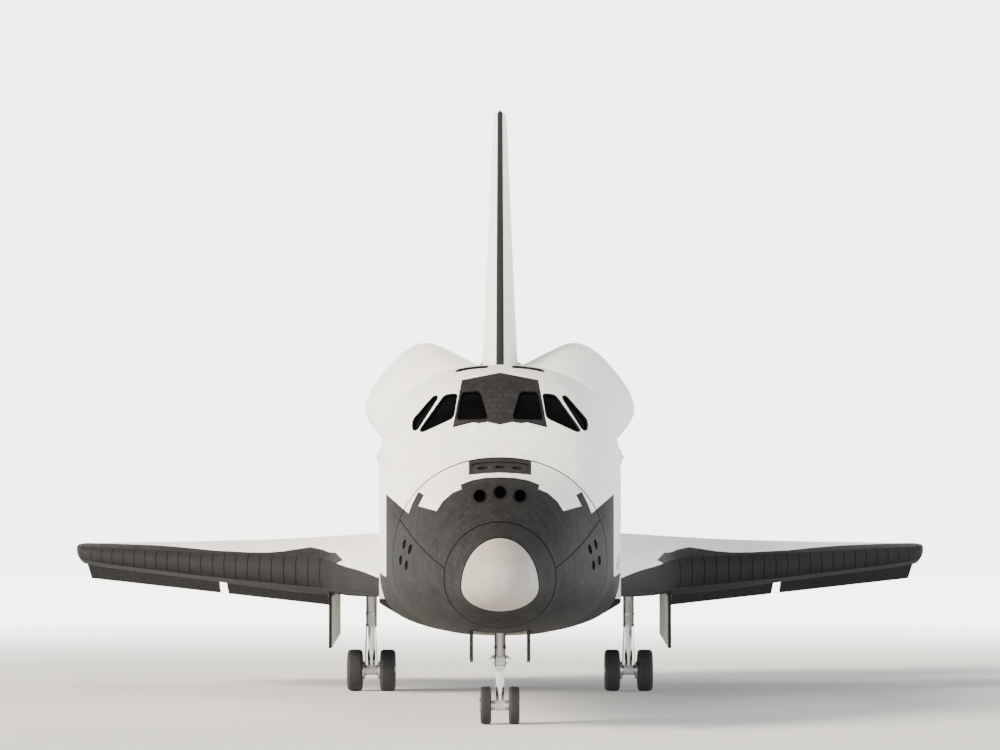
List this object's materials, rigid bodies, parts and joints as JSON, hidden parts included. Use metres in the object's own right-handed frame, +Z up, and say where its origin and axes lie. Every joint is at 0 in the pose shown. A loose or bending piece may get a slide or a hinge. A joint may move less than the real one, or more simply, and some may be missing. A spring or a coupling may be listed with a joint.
{
  "type": "space shuttle orbiter",
  "caption": "Winged space shuttle orbiter on its landing gear, with opening cargo bay doors, hatch, elevons, rudder, body flap, gimballed engines and turning wheels.",
  "frame": {"origin": "centre of the bounding box on the ground under the wheels", "axes": "+X to the vehicle's left, +Y to its tail, +Z up; it stands on its wheels with its nose about three degrees low"},
  "size_m": [23.8, 36.4675, 17.27],
  "materials": {
    "white_insulation": "matte",
    "black_tiles": "matte",
    "nose_cap_carbon": "satin",
    "dark_window_glass": "gloss",
    "engine_metal": "satin",
    "gear_metal": "satin",
    "wheel_metal": "satin",
    "tyre_rubber": "matte",
    "cabin_grey": "matte"
  },
  "bodies": {
    "airframe": {"aft_fuselage": "white_insulation", "bay_rear_bulkhead": "white_insulation", "bay_wall_left": "white_insulation", "bay_wall_right": "white_insulation", "cabin_shell": "white_insulation", "engine_pod_left": "white_insulation", "engine_pod_right": "white_insulation", "fin": "white_insulation", "flight_deck": "cabin_grey", "forward_thruster_module": "white_insulation", "front_window_left": "dark_window_glass", "front_window_right": "dark_window_glass", "keel": "black_tiles", "leading_edge_left": "black_tiles", "leading_edge_right": "black_tiles", "lower_nose": "black_tiles", "main_gear_door_left": "black_tiles", "main_gear_door_right": "black_tiles", "main_strut_left": "gear_metal", "main_strut_right": "gear_metal", "middle_window_left": "dark_window_glass", "middle_window_right": "dark_window_glass", "nose_cap": "nose_cap_carbon", "nose_gear_door_left": "black_tiles", "nose_gear_door_right": "black_tiles", "nose_ring": "black_tiles", "nose_strut": "gear_metal", "pod_engine_left": "engine_metal", "pod_engine_right": "engine_metal", "side_window_left": "dark_window_glass", "side_window_right": "dark_window_glass", "wing_left": "white_insulation", "wing_right": "white_insulation"},
    "bay_door_left": {"bay_door_left": "white_insulation"},
    "bay_door_right": {"bay_door_right": "white_insulation"},
    "side_hatch": {"side_hatch": "white_insulation"},
    "elevon_inboard_left": {"elevon_inboard_left": "white_insulation"},
    "elevon_outboard_left": {"elevon_outboard_left": "white_insulation"},
    "elevon_inboard_right": {"elevon_inboard_right": "white_insulation"},
    "elevon_outboard_right": {"elevon_outboard_right": "white_insulation"},
    "body_flap": {"body_flap": "black_tiles"},
    "rudder": {"rudder_left": "white_insulation", "rudder_right": "white_insulation"},
    "main_engine_upper": {"main_engine_upper": "engine_metal"},
    "main_engine_left": {"main_engine_left": "engine_metal"},
    "main_engine_right": {"main_engine_right": "engine_metal"},
    "nose_steering": {"nose_steering_leg": "gear_metal"},
    "nose_wheels": {"nose_axle": "wheel_metal", "nose_tyre_left": "tyre_rubber", "nose_tyre_right": "tyre_rubber"},
    "main_wheels_left": {"main_left_axle": "wheel_metal", "main_left_tyre_left": "tyre_rubber", "main_left_tyre_right": "tyre_rubber"},
    "main_wheels_right": {"main_right_axle": "wheel_metal", "main_right_tyre_left": "tyre_rubber", "main_right_tyre_right": "tyre_rubber"}
  },
  "joints": [
    {"name": "bay_door_left_hinge", "type": "hinge", "parent": "airframe", "child": "bay_door_left", "pos_m": [2.745, -0.39747, 6.29628], "axis": [0, 0.9982, 0.0593], "range_deg": [0, 175.5]},
    {"name": "bay_door_right_hinge", "type": "hinge", "parent": "airframe", "child": "bay_door_right", "pos_m": [-2.745, -0.39747, 6.29628], "axis": [0, -0.9982, -0.0593], "range_deg": [0, 175.5]},
    {"name": "side_hatch_hinge", "type": "hinge", "parent": "airframe", "child": "side_hatch", "pos_m": [2.63, -11.28223, 3.35557], "axis": [0.0847, 0.9947, 0.0591], "range_deg": [0, 90]},
    {"name": "elevon_inboard_left_hinge", "type": "hinge", "parent": "airframe", "child": "elevon_inboard_left", "pos_m": [4.95, 11.06574, 3.21012], "axis": [0.9988, -0.0029, 0.0496], "range_deg": [0, 65]},
    {"name": "elevon_outboard_left_hinge", "type": "hinge", "parent": "airframe", "child": "elevon_outboard_left", "pos_m": [8.1, 11.05645, 3.36646], "axis": [0.9988, -0.0029, 0.0496], "range_deg": [0, 65]},
    {"name": "elevon_inboard_right_hinge", "type": "hinge", "parent": "airframe", "child": "elevon_inboard_right", "pos_m": [-4.95, 11.06574, 3.21012], "axis": [0.9988, 0.0029, -0.0496], "range_deg": [0, 65]},
    {"name": "elevon_outboard_right_hinge", "type": "hinge", "parent": "airframe", "child": "elevon_outboard_right", "pos_m": [-8.1, 11.05645, 3.36646], "axis": [0.9988, 0.0029, -0.0496], "range_deg": [0, 65]},
    {"name": "body_flap_hinge", "type": "hinge", "parent": "airframe", "child": "body_flap", "pos_m": [0, 14.7757, 3.32091], "axis": [1, 0, 0], "range_deg": [-22.5, 11.7]},
    {"name": "rudder_hinge", "type": "hinge", "parent": "airframe", "child": "rudder", "pos_m": [0, 13.37242, 11.19154], "axis": [0, 0.5276, 0.8495], "range_deg": [-27.1, 27.1]},
    {"name": "main_engine_upper_pitch", "type": "hinge", "parent": "airframe", "child": "main_engine_upper", "pos_m": [0, 12.7615, 7.37859], "axis": [1, 0, 0], "range_deg": [-10.5, 10.5]},
    {"name": "main_engine_left_pitch", "type": "hinge", "parent": "airframe", "child": "main_engine_left", "pos_m": [1.36, 13.32093, 4.70707], "axis": [0.9981, -0.0609, -0.0036], "range_deg": [-10.5, 10.5]},
    {"name": "main_engine_right_pitch", "type": "hinge", "parent": "airframe", "child": "main_engine_right", "pos_m": [-1.36, 13.32093, 4.70707], "axis": [0.9981, 0.0609, 0.0036], "range_deg": [-10.5, 10.5]},
    {"name": "nose_steering", "type": "hinge", "parent": "airframe", "child": "nose_steering", "pos_m": [0, -13.12033, 0.40253], "axis": [0, -0.0593, 0.9982], "range_deg": [-9, 9]},
    {"name": "nose_wheels_spin", "type": "hinge", "parent": "nose_steering", "child": "nose_wheels", "pos_m": [0, -13.12033, 0.40253], "axis": [1, 0, 0], "continuous": true},
    {"name": "main_wheels_left_spin", "type": "hinge", "parent": "airframe", "child": "main_wheels_left", "pos_m": [3.454, 5.65337, 0.56017], "axis": [1, 0, 0], "continuous": true},
    {"name": "main_wheels_right_spin", "type": "hinge", "parent": "airframe", "child": "main_wheels_right", "pos_m": [-3.454, 5.65337, 0.56017], "axis": [1, 0, 0], "continuous": true}
  ]
}
